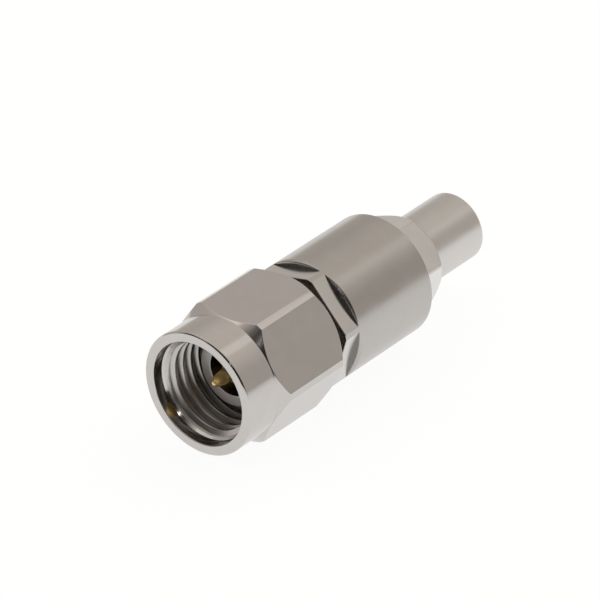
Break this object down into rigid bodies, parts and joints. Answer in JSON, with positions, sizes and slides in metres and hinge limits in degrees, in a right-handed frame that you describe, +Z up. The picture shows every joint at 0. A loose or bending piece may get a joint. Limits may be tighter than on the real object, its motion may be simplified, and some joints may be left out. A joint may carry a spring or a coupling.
{
  "type": "coaxial adapter",
  "caption": "Straight coaxial adapter: a threaded hexagon-nut plug with a gold pin at one end, a round barrel with wrench flats, and a slim push-on plug with a smooth shroud at the other.",
  "frame": {"origin": "centre of the threaded plug's mating plane, on the axis of the adapter", "axes": "+X along the axis from the threaded plug towards the push-on plug, +Z up as the adapter lies on a flat of its nut"},
  "size_m": [0.0244, 0.009, 0.008],
  "materials": {
    "stainless": "passivated stainless steel, satin turned",
    "spring": "spring steel",
    "gold": "gold-plated beryllium copper",
    "bead": "moulded engineering resin",
    "insulator": "white fluoropolymer"
  },
  "bodies": {
    "body": {"main_body": "stainless", "retaining_ring": "spring", "ssmp_shroud": "stainless", "front_pin": "gold", "support_bead": "bead", "rear_pin": "gold", "ssmp_insulator": "insulator"},
    "nut": {"coupling_nut": "stainless"}
  },
  "joints": [
    {"name": "nut_spin", "type": "hinge", "parent": "body", "child": "nut", "pos_m": [0, 0, 0], "axis": [1, 0, 0], "continuous": true}
  ]
}
